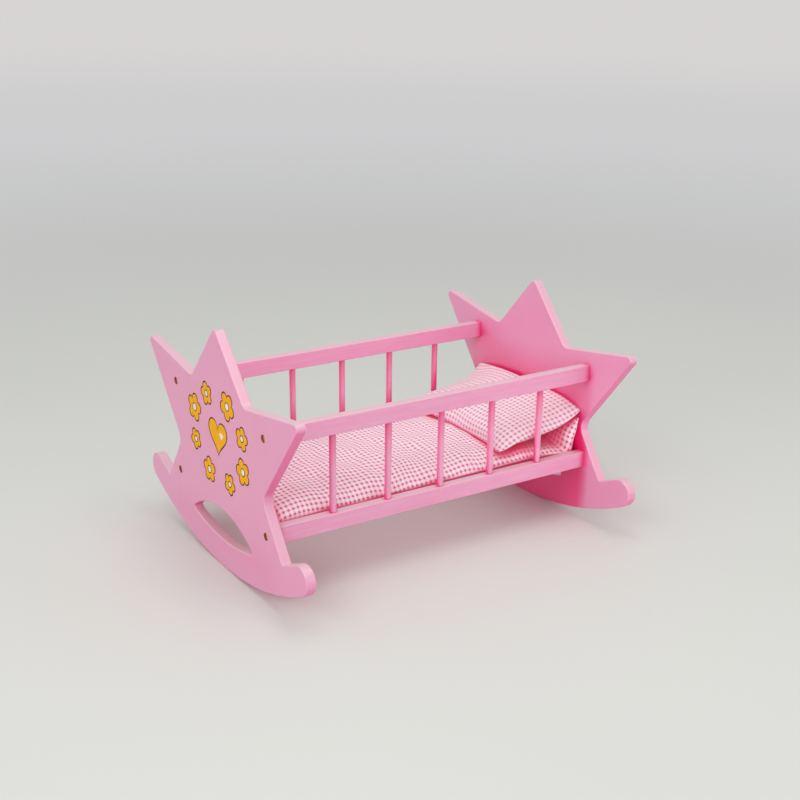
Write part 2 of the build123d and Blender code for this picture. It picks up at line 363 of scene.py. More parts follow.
def painted_rail_shadow(paint, spot, filled_shade):
    """The same painted shade, and high near the top of a dowel as well, as the top rail's painted
    shadow.
    """
    near_top = add(paint, "MapRange", {
        "Value": spot.outputs["Z"], "From Min": up_to_the_top_rail[0],
        "From Max": up_to_the_top_rail[1], "To Max": 0.65})
    return add(paint, "Math", {
        0: filled_shade, 1: near_top.outputs[0]}, operation="MAXIMUM").outputs[0]


# %% Painted shade under the bed
inside_the_rails = (130 * MM, 113 * MM)
below_the_base_board = (90 * MM, 78 * MM)


def under_the_bed(paint, normal, spot, across):
    """Painted shade, high on the faces that the end boards turn to each other, below the base board."""
    inward = add(paint, "Math", {
        0: normal.outputs["X"], 1: spot.outputs["X"]}, operation="MULTIPLY")
    shaded = add(paint, "MapRange", {
        "Value": inward.outputs[0], "From Min": 0.0, "From Max": -0.1}).outputs[0]
    beside = add(paint, "MapRange", {
        "Value": across, "From Min": inside_the_rails[0], "From Max": inside_the_rails[1]})
    below = add(paint, "MapRange", {
        "Value": spot.outputs["Z"], "From Min": below_the_base_board[0],
        "From Max": below_the_base_board[1], "To Max": 0.85})
    for part in (beside, below):
        shaded = add(paint, "Math", {0: shaded, 1: part.outputs[0]}, operation="MULTIPLY").outputs[0]
    return shaded


# %% Painted shade in the screw recesses
screw_recess_radius = 4.7 * MM
screw_axes = [(0, 114 * MM, 85.25 * MM), (0, 114 * MM, 200.65 * MM)]
# A hair wider than the recess, so that its wall gets the painted shade too
recess_shade_radius = 1.005 * screw_recess_radius


def drilled(paint, spot, across):
    """For each height of screws, 1 in their recesses and 0 elsewhere."""
    folded = add(paint, "CombineXYZ", {"Y": across, "Z": spot.outputs["Z"]})
    recesses = []
    for axis in screw_axes:
        off_axis = add(paint, "VectorMath", {0: folded.outputs[0], 1: axis}, operation="DISTANCE")
        inside = add(paint, "Math", {
            0: off_axis.outputs["Value"], 1: recess_shade_radius}, operation="LESS_THAN")
        recesses.append(inside.outputs[0])
    return recesses


# %% Painted shade in deep pink and dark brown
def painted_shade_tints(paint, reach, spot, normal, squares, grain_direction):
    """Where shade is painted deep pink, and dark brown in the screw recesses, each with its tint."""
    if grain_direction:
        filled_shade = painted_shade_where_filled(paint, reach, spot, squares)
        if grain_direction == "Z":
            filled_shade = painted_rail_shadow(paint, spot, filled_shade)
        return [(filled_shade, lacquer_painted_shade)]
    across = add(paint, "Math", {0: spot.outputs["Y"]}, operation="ABSOLUTE").outputs[0]
    return [
        (painted_shade_where_filled(paint, reach, spot, squares, across), lacquer_painted_shade),
        (under_the_bed(paint, normal, spot, across), lacquer_painted_shade),
        *((recess, recess_wall_painted_shade) for recess in drilled(paint, spot, across))]


# %% Lacquer
def lacquer(name, reach, grain_direction=None):
    """Satin pink lacquer on an end board, or on a bar whose grain runs along an axis. Shade is
    painted into the pink where the space within reach is filled."""
    paint, output = new_material(name)
    place = add(paint, "TexCoord")
    spot = add(paint, "SeparateXYZ", {0: place.outputs["Object"]})
    normal = add(paint, "SeparateXYZ", {0: place.outputs["Normal"]})
    squares = [add(paint, "Math", {0: normal.outputs[axis], 1: 2.0}, operation="POWER").outputs[0]
               for axis in "XYZ"]
    clouds = add(paint, "TexNoise", {
        "Vector": place.outputs["Object"], "Scale": per_metre(cloud_size), "Detail": 3.0})
    peel = add(paint, "TexNoise", {
        "Vector": place.outputs["Object"], "Scale": per_metre(peel_size), "Detail": 1.5})
    height = peel.outputs["Fac"]
    tints = [(clouds.outputs["Fac"], lacquer_pink)]
    if grain_direction:
        grain = wood_grain(paint, place, grain_direction)
        height = add(paint, "Math", {0: grain, 1: height}, operation="ADD").outputs[0]
        streak = add(paint, "MapRange", {
            "Value": grain, "From Min": 0.4, "From Max": 0.7, "To Max": 0.6})
        tints.append((streak.outputs[0], lacquer_streak))
    tints.append((worn_edge(paint, place, squares, grain_direction), lacquer_worn))
    # Painted light: a gleam on upward faces, then shade below, in corners, under the bed and in
    # recesses
    tints += painted_light_by_facing(paint, normal, grain_direction)
    tints += painted_shade_tints(paint, reach, spot, normal, squares, grain_direction)
    colour = linear(lacquer_deep)
    for factor, tint in tints:
        mixed = add(paint, "Mix", {"Factor": factor, "A": colour, "B": linear(tint)}, data_type="RGBA")
        colour = mixed.outputs["Result"]
    sheen = add(paint, "MapRange", {"Value": clouds.outputs["Fac"], "To Min": 0.36, "To Max": 0.46})
    bump = add(paint, "Bump", {"Height": height, "Strength": 0.12, "Distance": 0.0004})
    shader = add(paint, "BsdfPrincipled", {
        "Base Color": colour, "Roughness": sheen.outputs[0], "IOR": 1.5,
        "Specular IOR Level": 0.8, "Coat Weight": 0.6, "Coat Roughness": 0.3,
        "Normal": bump.outputs[0]})
    paint.node_tree.links.new(shader.outputs["BSDF"], output.inputs["Surface"])
    print(name, "has", len(tints), "tints")
    return paint


board_lacquer = lacquer("satin_pink_lacquer_on_board", 100 * MM)
rail_lacquer = lacquer("satin_pink_lacquer_on_rail", 14 * MM, "X")
dowel_lacquer = lacquer("satin_pink_lacquer_on_dowel", 60 * MM, "Z")


# %% Paint the wood
def give(node_name, material):
    """Put one material on every slot of a CAD node."""
    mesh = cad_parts[node_name].data
    mesh.materials.clear()
    mesh.materials.append(material)


for node_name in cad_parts:
    if "rail" in node_name:
        give(node_name, rail_lacquer)
    elif "spindle" in node_name:
        give(node_name, dowel_lacquer)
    elif node_name.endswith("board"):
        give(node_name, board_lacquer)
print("Boards:", [node_name for node_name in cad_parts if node_name.endswith("board")])

# %% [markdown]
# ## Screws
# Eight countersunk wood screws hold the rails. They are steel with a yellow passivation, so they
# look like dull brass, a little blotchy. Each sits in a drilled recess whose walls are painted dark
# brown as shade, so a dark crescent shows above each head. The heads are modelled already, so a
# material is all that they need here. It is only half metallic, because the passivation is a thin
# salt layer that scatters part of the light.

# %% Screws
blotch_size = 1.5
passivated, output = new_material("yellow_passivated_steel")
place = add(passivated, "TexCoord")
blotches = add(passivated, "TexNoise", {
    "Vector": place.outputs["Object"], "Scale": per_metre(blotch_size), "Detail": 3.0})
colour = add(passivated, "Mix", {
    "Factor": blotches.outputs["Fac"], "A": linear("#E0B85C"), "B": linear("#FFF2BE")},
    data_type="RGBA")
shader = add(passivated, "BsdfPrincipled", {
    "Base Color": colour.outputs["Result"], "Metallic": 0.5, "Roughness": 0.4})
passivated.node_tree.links.new(shader.outputs["BSDF"], output.inputs["Surface"])
give("foot_screws", passivated)
give("head_screws", passivated)
print("Screws are", passivated.name)

# %% [markdown]
# ## Print on the foot end
# The foot end is decorated by screen printing: each colour of ink is pressed through its own
# stencil onto the cured lacquer, and dries as a film a tenth of a millimetre thick, more matt
# than the lacquer round it. It could be one more tint in the lacquer, but its outlines would
# then be soft. So each ink is one mesh here, a hair higher than the one before it: yellow first,
# then white, then the plum line that covers the joints. The design is a heart in a wreath of
# eight flowers. Petals are drawn with one wave round a circle, and the heart with the usual sum
# of cosines. The stencil's mesh marks the ink less than half a millimetre apart, which is too
# fine to show, so the marks are drawn coarser.

# %% Motif outlines
petals_in_flower = 5
flower_points = 90
spot_points = 32
heart_points = 120


def flower_outline(middle, size, turn):
    """The edge of a flower, as places across and up the board. Its petals are the outer third."""
    angles = np.linspace(0, 2 * math.pi, flower_points, endpoint=False)
    reach = size / 2 * (0.66 + 0.34 * np.abs(np.cos(petals_in_flower / 2 * angles)) ** 0.7)
    return np.stack([np.cos(angles + turn) * reach, np.sin(angles + turn) * reach], axis=1) + middle


def round_outline(middle, size):
    """The edge of a spot."""
    angles = np.linspace(0, 2 * math.pi, spot_points, endpoint=False)
    return np.stack([np.cos(angles), np.sin(angles)], axis=1) * size / 2 + middle


def heart_outline(middle, size):
    """The edge of a heart."""
    turn = np.linspace(0, 2 * math.pi, heart_points, endpoint=False)
    across = 16 * np.sin(turn) ** 3
    up = 13 * np.cos(turn) - 5 * np.cos(2 * turn) - 2 * np.cos(3 * turn) - np.cos(4 * turn) + 2.5
    return np.stack([across, up], axis=1) * size / 30 + middle


def inset(outline, width):
    """An outline drawn in towards its middle."""
    middle = outline.mean(axis=0)
    reach = np.linalg.norm(outline - middle, axis=1, keepdims=True)
    return middle + (outline - middle) * (1 - width / reach)


# %% Inks
thin_patch_size = 6
mesh_mark_size = 1.2


def ink(name, colour, thin_colour):
    """Screen ink, a little thinner in places."""
    film, output = new_material(name)
    place = add(film, "TexCoord")
    thin = add(film, "TexNoise", {
        "Vector": place.outputs["Object"], "Scale": per_metre(thin_patch_size), "Detail": 4.0})
    cover = add(film, "MapRange", {"Value": thin.outputs["Fac"], "From Min": 0.5, "From Max": 0.8})
    tint = add(film, "Mix", {
        "Factor": cover.outputs[0], "A": linear(colour), "B": linear(thin_colour)},
        data_type="RGBA")
    mesh_mark = add(film, "TexNoise", {
        "Vector": place.outputs["Object"], "Scale": per_metre(mesh_mark_size), "Detail": 1.0})
    bump = add(film, "Bump", {
        "Height": mesh_mark.outputs["Fac"], "Strength": 0.15, "Distance": 0.0003})
    shader = add(film, "BsdfPrincipled", {
        "Base Color": tint.outputs["Result"], "Roughness": 0.45, "IOR": 1.4,
        "Specular IOR Level": 0.1, "Normal": bump.outputs[0]})
    film.node_tree.links.new(shader.outputs["BSDF"], output.inputs["Surface"])
    print("Mixed", name)
    return film


yellow_ink = ink("golden_yellow_screen_ink", "#FCB200", "#FCBE14")
white_ink = ink("white_screen_ink", "#F6EFE9", "#F4D9DE")
plum_ink = ink("dark_plum_screen_ink", "#2C0A1C", "#4A1A34")

# %% Printing
print_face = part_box("footboard")[0].x
ink_step = 0.05 * MM


def press(name, shapes, passes, material):
    """One ink's film. Each shape is an outline, alone or with the outline of its hole."""
    mesh = bpy.data.meshes.new(name)
    corners = []
    faces = []
    for outline, hole in shapes:
        for loop in (outline, hole):
            if loop is not None:
                corners += [(print_face - passes * ink_step, *point) for point in loop]
                corners += [(print_face + ink_step, *point) for point in loop]
        count = len(outline)
        start = len(corners) - 2 * count * (1 if hole is None else 2)
        ahead = [(step, (step + 1) % count) for step in range(count)]
        faces += [[start + a, start + b, start + count + b, start + count + a] for a, b in ahead]
        if hole is None:
            faces.append([start + step for step in range(count)])
        else:
            inner = start + 2 * count
            faces += [[start + a, start + b, inner + b, inner + a] for a, b in ahead]
            faces += [[inner + a, inner + b, inner + count + b, inner + count + a] for a, b in ahead]
    mesh.from_pydata(corners, [], faces)
    shape = bmesh.new()
    shape.from_mesh(mesh)
    bmesh.ops.recalc_face_normals(shape, faces=shape.faces)
    shape.to_mesh(mesh)
    shape.free()
    mesh.materials.append(material)
    film = bpy.data.objects.new(name, mesh)
    bpy.context.scene.collection.objects.link(film)
    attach(film, "frame")
    print(name, "prints", len(shapes), "shapes")


# %% Print
line_width = 1.6 * MM
wreath_middle = np.array([0, 163]) * MM
wreath_places = [[27, 47], [62, 20], [62, -20], [27, -47], [-27, -47], [-62, -20], [-62, 20], [-27, 47]]
wreath_sizes = [30, 36, 28, 33, 28, 34, 30, 36]
flower_turn = 0.5
flower_spot_share = 0.30
heart = heart_outline(wreath_middle, 46 * MM)
heart_gleam = heart_outline(wreath_middle + np.array([-9, 5]) * MM, 9 * MM)
yellow_shapes = [(heart, None)]
white_shapes = [(heart_gleam, None)]
plum_shapes = [(heart, inset(heart, line_width))]
for number, (place, size) in enumerate(zip(wreath_places, wreath_sizes)):
    middle = wreath_middle + np.array(place) * MM
    petals = flower_outline(middle, size * MM, flower_turn * number)
    spot = round_outline(middle, flower_spot_share * size * MM)
    yellow_shapes.append((petals, None))
    white_shapes.append((spot, None))
    plum_shapes += [(petals, inset(petals, line_width)), (spot, inset(spot, 0.7 * line_width))]
press("printed_yellow", yellow_shapes, 1, yellow_ink)
press("printed_white", white_shapes, 2, white_ink)
press("printed_plum_line", plum_shapes, 3, plum_ink)

# %% [markdown]
# ## Gingham
# Gingham is a plain weave of white and dyed cotton yarns in stripes of equal width, both ways.
# Where dyed crosses dyed the square is full pink, where white crosses white it is white, and the
# mixed squares are in between. The check here is a small one of an eighth of an inch. Cotton is
# matt, with a soft bloom of fibre ends where it is seen at a slant, and its checks drift a little
# out of line, as in real cloth. In the deepest folds light goes to and fro between the checks
# until only the pink is left, so those are tinted. A picture of the cloth would be the usual
# way, but waves worked out from a map stay sharp close up: the map gives each point of the cloth
# its place on the flat cut, so the checks bend and pucker with it. The single yarns are finer
# than a pixel, so the weave's bump is drawn coarser.

# %% Gingham colours and sizes
check_width = 3.2 * MM
yarn_spacing = 0.8 * MM
drift_width = 18 * check_width
drift_height = 3 * check_width
quilt_cloth = {"white": "#F8EFF2", "pink": "#E25090"}
pillow_cloth = {"white": "#F4E7EA", "pink": "#E07AA3"}
mixed_square_share = 0.28
# Painted shade: the pink that the deepest folds are tinted
cotton_painted_fold_shade = "#FF4A8C"
crease_reach = 45 * MM
# The share of open space at which a fold starts to turn pink, and at which it is full
creased_between = (0.64, 0.3)
print("Quilt and pillow:", quilt_cloth["pink"], "and", pillow_cloth["pink"], "on white")


# %% Checks
def waves(cotton, ways, width):
    """Two waves over the cloth, along it and across it, that change sign at each width."""
    made = []
    for axis in "XY":
        turn = add(cotton, "Math", {
            0: ways.outputs[axis], 1: math.pi / width}, operation="MULTIPLY")
        made.append(add(cotton, "Math", {0: turn.outputs[0]}, operation="SINE").outputs[0])
    return made


def drifted(cotton):
    """Places along and across the cloth, a little out of line with its flat cut."""
    cut = add(cotton, "UVMap", uv_map="cloth")
    slub = add(cotton, "TexNoise", {
        "Vector": cut.outputs["UV"], "Scale": 1 / drift_width, "Detail": 0.5})
    drift = add(cotton, "VectorMath", {
        0: slub.outputs["Color"], 1: (0.5, 0.5, 0.5)}, operation="SUBTRACT")
    drift = add(cotton, "VectorMath", {0: drift.outputs[0], "Scale": drift_height}, operation="SCALE")
    shifted = add(cotton, "VectorMath", {0: cut.outputs["UV"], 1: drift.outputs[0]}, operation="ADD")
    return add(cotton, "SeparateXYZ", {0: shifted.outputs[0]})


def dyed_share(cotton, ways):
    """How much of the yarn at a place is dyed: all, some or none."""
    stripes = []
    for wave in waves(cotton, ways, check_width):
        stripe = add(cotton, "MapRange", {
            "Value": wave, "From Min": -0.1, "From Max": 0.4}, interpolation_type="SMOOTHSTEP")
        stripes.append(stripe.outputs[0])
    both = add(cotton, "Math", {0: stripes[0], 1: stripes[1]}, operation="MULTIPLY").outputs[0]
    either = add(cotton, "Math", {0: stripes[0], 1: stripes[1]}, operation="ADD").outputs[0]
    mixed = add(cotton, "Math", {0: either, 1: mixed_square_share}, operation="MULTIPLY").outputs[0]
    return add(cotton, "Math", {
        0: both, 1: 1 - 2 * mixed_square_share, 2: mixed}, operation="MULTIPLY_ADD").outputs[0]


# %% Gingham cotton
def gingham(name, white, pink):
    """Cotton gingham that follows the map named cloth."""
    cotton, output = new_material(name)
    ways = drifted(cotton)
    dyed = dyed_share(cotton, ways)
    colour = add(cotton, "Mix", {
        "Factor": dyed, "A": linear(white), "B": linear(pink)}, data_type="RGBA")
    # Painted shade: the deepest folds are tinted pink
    shelter = add(cotton, "AmbientOcclusion", {"Distance": crease_reach}, samples=8)
    crease = add(cotton, "MapRange", {
        "Value": shelter.outputs["AO"], "From Min": creased_between[0],
        "From Max": creased_between[1]})
    colour = add(cotton, "Mix", {
        "Factor": crease.outputs[0], "A": colour.outputs["Result"], "B": linear(cotton_painted_fold_shade)},
        data_type="RGBA")
    yarns = waves(cotton, ways, yarn_spacing)
    weave = add(cotton, "Math", {0: yarns[0], 1: yarns[1]}, operation="MULTIPLY")
    bump = add(cotton, "Bump", {"Height": weave.outputs[0], "Strength": 0.25, "Distance": 0.0002})
    shader = add(cotton, "BsdfPrincipled", {
        "Base Color": colour.outputs["Result"], "Roughness": 0.85, "Sheen Weight": 0.35,
        "Sheen Roughness": 0.5, "Normal": bump.outputs[0]})
    cotton.node_tree.links.new(shader.outputs["BSDF"], output.inputs["Surface"])
    print(name, "has checks of", round(check_width / MM, 2), "mm")
    return cotton


quilt_cotton = gingham("quilt_gingham_cotton", **quilt_cloth)
pillow_cotton = gingham("pillow_gingham_cotton", **pillow_cloth)

# %% [markdown]
# ## Sewing a bag
# A quilt and a pillow are both bags: two panels of cloth, sewn together round the edge and
# filled. A rounded block would have their shape but no seam, and no puckers beside it. So each
# starts as two grids of points that share their border. The grid's lines are spaced evenly over
# the cloth, not over the floor below it, so the map for the gingham can be measured from the
# panel itself and no check is stretched. Each point also gets its place on the flat cut, which
# is the size that the cloth wants to be. A cloth simulation with pressure inside then finds the
# puckers that such a seam has. The pillow's corners are blunted, because a filled bag's corners
# draw in.

# %% Even steps along a line
def reached_along(line):
    """How far along a line each of its points is."""
    steps = np.linalg.norm(np.diff(line, axis=0), axis=1)
    return np.concatenate([[0], np.cumsum(steps)])


def evenly(line, count, measured=slice(None)):
    """The same line in even steps, measured in some of its columns."""
    reached = reached_along(line[:, measured])
    places = np.linspace(0, reached[-1], count + 1)
    return np.stack([np.interp(places, reached, column) for column in line.T], axis=1)


line_steps = 600


def softly_through(stations, rounding, measured):
    """A fine line through rows of numbers, with its corners rounded."""
    line = evenly(np.array(stations, float), line_steps, measured)
    for _ in range(rounding):
        line[1:-1] = (line[:-2] + 2 * line[1:-1] + line[2:]) / 4
    return line


print("Lines are rounded in", line_steps, "steps")


# %% Seams and corners
seam_sharpness = 0.7
head_corner_relief = 0.4
blunting_across = 0.6
# The higher these powers, the nearer to a corner the blunting starts
nearness_along = 12
nearness_across = 20


def blunted(along, across, bluntness):
    """Shares along and across a panel, drawn in at its four corners, less at the head end."""
    near_corner = bluntness * (1 - head_corner_relief * along)
    near_corner = near_corner * np.abs(2 * along - 1) ** nearness_along
    near_corner = near_corner * np.abs(2 * across - 1) ** nearness_across
    return [0.5 + (share - 0.5) * (1 - near_corner * weight)
            for share, weight in ((along, 1), (across, blunting_across))]


def crease_seam(mesh, on_seam, sharp_corners):
    """Keep a bag's seam narrow, and some of its corners sharp, when it is subdivided."""
    corner_crease = mesh.attributes.new("crease_vert", "FLOAT", "POINT")
    corner_crease.data.foreach_set("value", sharp_corners.astype(np.float32))
    seam_crease = mesh.attributes.new("crease_edge", "FLOAT", "EDGE")
    for edge, crease in zip(mesh.edges, seam_crease.data):
        crease.value = seam_sharpness * float(on_seam[edge.vertices[0]] and on_seam[edge.vertices[1]])


def cloth_places(panel):
    """Each point's place on a panel's cloth: how far along it, and how far from its middle."""
    middle = (panel.shape[1] - 1) // 2
    lengths = reached_along(panel[:, middle])[:, None] + 0 * panel[:, :, 0]
    widths = np.array([reached_along(column) - reached_along(column)[middle] for column in panel])
    return np.stack([lengths, widths], axis=2).reshape(-1, 2)


print("Seam sharpness:", seam_sharpness)


# %% Sew a bag
def sew_bag(name, top_panel, bottom_panel, cut, material, bluntness=0.0):
    """Two panels, each a grid of points in columns along and rows across, with a common border.
    cut is the flat length and width of a panel."""
    columns = top_panel.shape[0] - 1
    rows = top_panel.shape[1] - 1
    along, across = [share.ravel() for share in np.meshgrid(
        np.linspace(0, 1, columns + 1), np.linspace(0, 1, rows + 1), indexing="ij")]
    inner = (along > 0) & (along < 1) & (across > 0) & (across < 1)
    top = np.arange(along.size)
    bottom = top.copy()
    bottom[inner] = along.size + np.arange(inner.sum())
    points = np.vstack([top_panel.reshape(-1, 3), bottom_panel.reshape(-1, 3)[inner]])
    corner = (np.arange(columns)[:, None] * (rows + 1) + np.arange(rows)[None, :]).ravel()
    quads = np.stack([corner, corner + rows + 1, corner + rows + 2, corner + 1], axis=1)
    faces = np.vstack([top[quads], bottom[quads][:, ::-1]])
    mesh = bpy.data.meshes.new(name)
    mesh.from_pydata(points.tolist(), [], faces.tolist())
    sharp_corners = np.isin(along, (0, 1)) & np.isin(across, (0, 1)) & (bluntness == 0)
    nothing = np.zeros(inner.sum(), bool)
    crease_seam(mesh, np.append(~inner, nothing), np.append(sharp_corners, nothing))
    places = np.vstack([
        cloth_places(top_panel)[quads].reshape(-1, 2),
        cloth_places(bottom_panel)[quads[:, ::-1]].reshape(-1, 2)])
    cloth_map = mesh.uv_layers.new(name="cloth")
    cloth_map.uv.foreach_set("vector", places.astype(np.float32).ravel())
    mesh.shade_smooth()
    mesh.materials.append(material)
    bag = bpy.data.objects.new(name, mesh)
    bpy.context.scene.collection.objects.link(bag)
    flat_along, flat_across = blunted(along, across, bluntness)
    flat = np.stack([flat_along * cut[0], flat_across * cut[1], 0 * along], axis=1)
    rest = np.vstack([flat, flat[inner]])
    arcs = [reached_along(top_panel[:, rows // 2])[-1], reached_along(top_panel[columns // 2])[-1]]
    print(name, "has", len(points), "points; over the top", [round(a / MM, 1) for a in arcs],
          "mm; cut", [round(side / MM, 1) for side in cut], "mm")
    return bag, rest


# %% Fill a bag
# Springs as stiff as light cotton, with the air slow, so that the bag settles without shaking
cotton_springs = {
    "quality": 6, "mass": 0.2, "air_damping": 2.0, "tension_stiffness": 12.0,
    "compression_stiffness": 12.0, "shear_stiffness": 4.0, "bending_stiffness": 0.3}
stuffing_pressure = 3.0
stuffing_frames = 20


def points_of(mesh):
    """A mesh's points as an array."""
    places = np.empty(len(mesh.vertices) * 3, np.float32)
    mesh.vertices.foreach_get("co", places)
    return places.reshape(-1, 3).astype(float)


def stuff(bag, rest, cap):
    """Fill a bag by cloth simulation, with its flat cut as its rest size, and let no point move
    further than cap."""
    start = points_of(bag.data)
    bag.shape_key_add(name="start")
    key = bag.shape_key_add(name="cut")
    key.data.foreach_set("co", rest.astype(np.float32).ravel())
    cloth = bag.modifiers.new("stuffing", "CLOTH")
    cloth.settings.rest_shape_key = key
    for setting, value in cotton_springs.items():
        setattr(cloth.settings, setting, value)
    cloth.settings.use_pressure = True
    cloth.settings.uniform_pressure_force = stuffing_pressure
    cloth.settings.effector_weights.gravity = 0.0
    cloth.collision_settings.use_collision = False
    cloth.point_cache.frame_start = 1
    cloth.point_cache.frame_end = stuffing_frames
    for frame_number in range(1, stuffing_frames + 1):
        bpy.context.scene.frame_set(frame_number)
    evaluated = bag.evaluated_get(bpy.context.evaluated_depsgraph_get())
    end = points_of(evaluated.to_mesh())
    evaluated.to_mesh_clear()
    bag.modifiers.remove(cloth)
    bag.shape_key_clear()
    bpy.context.scene.frame_set(1)
    moved = end - start
    far = np.linalg.norm(moved, axis=1, keepdims=True)
    print(bag.name, "moved", round(float(far.mean()) / MM, 2), "mm on average, and at most",
          round(float(far.max()) / MM, 2))
    end = start + moved * np.minimum(1, cap / np.maximum(far, 1e-9))
    bag.data.vertices.foreach_set("co", end.astype(np.float32).ravel())
    bag.data.update()


# %% Refine a bag and keep it inside
def refine(bag):
    """One step of subdivision, so that the outlines are smooth close up."""
    step = bag.modifiers.new("refine", "SUBSURF")
    step.levels = 1
    step.render_levels = 1
    evaluated = bag.evaluated_get(bpy.context.evaluated_depsgraph_get())
    finer = bpy.data.meshes.new_from_object(evaluated)
    bag.modifiers.remove(step)
    bag.data = finer


def keep_inside(bag, low, high):
    """Flatten a bag against the boards around it."""
    places = np.clip(points_of(bag.data), low, high)
    bag.data.vertices.foreach_set("co", places.astype(np.float32).ravel())
    bag.data.update()


rail_clearance = 0.4 * MM
rail_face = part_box("near_bottom_rail")[1].y
headboard_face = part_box("headboard")[0].x
bed_low = Vector((-headboard_face + rail_clearance, rail_face + rail_clearance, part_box("quilt")[0].z))
bed_high = Vector((headboard_face - rail_clearance, -rail_face - rail_clearance, 1))
print("Bedding keeps", round(rail_clearance / MM, 2), "mm off the wood")


# %% [markdown]
# ## Quilt
# The quilt fills the bed from side to side. It is a bag of wadding, so its edge seam stands a
# little off the board and its top rolls down to it. It thins towards the head end, where it is
# too long for the bed, so it folds at a sharp corner and its last hand's breadth stands up
# against the headboard. It could be dropped into the bed by simulation, but where it folded
# would be left to chance. So it is lofted through stations along the bed: at each, a line from
# the underside to the crown, how high the seam is on that line, and how wide the quilt is there.
# Wadding is never even, so soft low waves run over the top.

# %% Quilt stations
quilt_half_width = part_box("quilt")[1].y
# Underside x and z, crown x and z, seam's share of the way up, half width and side sag, in mm
quilt_stations = [
    [-218.5, 82.4, -218.5, 112.3, 0.22, 106.4, 0.16],
    [-150.0, 82.4, -150.0, 112.3, 0.26, 105.2, 0.20],
    [-60.0, 82.4, -60.0, 112.3, 0.30, 104.4, 0.22],
    [40.0, 82.4, 40.0, 112.3, 0.38, 104.6, 0.22],
    [90.0, 82.4, 90.0, 110.5, 0.42, 105.4, 0.18],
    [110.0, 82.4, 110.0, 109.0, 0.58, 106.4, 0.12],
    [140.0, 82.4, 140.0, 107.5, 0.62, 106.8, 0.08],
    [170.0, 82.4, 168.0, 105.0, 0.64, 107.2, 0.05],
    [194.0, 82.4, 187.0, 101.5, 0.60, 108.2, 0.02],
    [213.0, 83.5, 198.0, 101.5, 0.38, 108.4, 0.02],
    [219.4, 94.0, 198.5, 107.0, 0.30, 108.4, 0.02],
    [219.4, 108.0, 200.0, 113.0, 0.40, 108.4, 0.02],
    [220.0, 122.0, 205.0, 124.0, 0.48, 110.0, 0.02],
    [220.5, 141.0, 213.0, 141.0, 0.50, 110.0, 0.02],
]
quilt_corner_rounding = 14
quilt_spine = softly_through(quilt_stations, quilt_corner_rounding, slice(0, 4))
quilt_spine = quilt_spine * ([MM] * 4 + [1, MM, 1])
quilt_length = reached_along(quilt_spine[:, :4])[-1] / math.sqrt(2)
quilt_foot_round = 24 * MM
quilt_head_round = 9 * MM
print("Quilt, laid straight:", round(quilt_length / MM), "mm")


# %% Wadding
edge_roundness = 2.2


def fullness(share, steepness):
    """From 0 at an edge to 1 at the middle, round at the edge."""
    return (1 - np.abs(share) ** steepness) ** (1 / edge_roundness)


# Each soft wave's height, its length along and across the bed, in mm, and where it starts
wadding_waves = [
    (1.0, 74, 130, 0.4), (0.8, 46, -90, 2.1), (0.6, -120, 38, 4.4), (0.5, 31, 44, 1.2),
    (0.4, -27, 60, 5.3)]


def lumpy(along, across):
    """How high wadding stands at a place on the cloth. All lengths in metres."""
    return sum(
        height * MM * np.sin(2 * math.pi * (along / (long * MM) + across / (wide * MM)) + start)
        for height, long, wide, start in wadding_waves)


print("Lumps of wadding:", len(wadding_waves), "waves, up to", wadding_waves[0][0], "mm high")

# %% Quilt panels
# How suddenly each part of the quilt turns down to its edge: 2 is a round end, 10 nearly a box
end_steepness = 2.2
top_steepness = 6
underside_steepness = 10
samples_per_row = 8


def quilt_panel(grid_step, upper):
    """The quilt's upper or lower panel as a grid of points."""
    columns = round(quilt_length / grid_step)
    rows = 2 * round(quilt_half_width / grid_step)
    spine = evenly(quilt_spine, columns, slice(0, 4))
    side = np.sin(np.linspace(-1, 1, samples_per_row * rows + 1) * math.pi / 2)
    panel = []
    for share, station in zip(np.linspace(0, 1, columns + 1), spine):
        underside = station[0:2]
        crown = station[2:4]
        seam, half_width, sag = station[4:7]
        from_foot = min(share * quilt_length / quilt_foot_round, 1)
        from_head = min((1 - share) * quilt_length / quilt_head_round, 1)
        ends = fullness(1 - from_foot, end_steepness) * fullness(1 - from_head, end_steepness)
        if upper:
            thickness = np.linalg.norm(crown - underside)
            lumps = lumpy(share * quilt_length, side * half_width)
            height = seam + (1 - sag * side**2 - seam) * fullness(side, top_steepness) * ends
            height = height + lumps * fullness(side, top_steepness) * ends / thickness
        else:
            height = seam * (1 - fullness(side, underside_steepness) * ends)
        x = underside[0] + (crown[0] - underside[0]) * height
        z = underside[1] + (crown[1] - underside[1]) * height
        panel.append(evenly(np.stack([x, side * half_width, z], axis=1), rows))
    return np.array(panel)


# %% Sew the quilt
quilt_grid_step = 5 * MM
ease_along = 1.03
ease_across = 1.10
quilt_cut = (quilt_length * ease_along, 2 * quilt_half_width * ease_across)
quilt_swell_cap = 3.5 * MM
quilt, quilt_rest = sew_bag(
    "gingham_quilt", quilt_panel(quilt_grid_step, True), quilt_panel(quilt_grid_step, False),
    quilt_cut, quilt_cotton)
stuff(quilt, quilt_rest, quilt_swell_cap)
keep_inside(quilt, bed_low, bed_high)
refine(quilt)
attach(quilt, "quilt")
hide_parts("quilt")

# %% [markdown]
# ## Pillow
# The pillow is a thinner bag. It lies on the quilt with its foot edge and leans on the quilt's
# turned-up end, and the filling has slid down from its head edge, so that part is slack and its
# sides dip between the two. One long station after another would suit it badly, because its
# four sides all bend in their own way. So its seam is drawn first, as a sheet through a few
# places, and the two panels swell from that sheet: the upper one a good deal, and the lower one
# little, because the quilt is in its way.

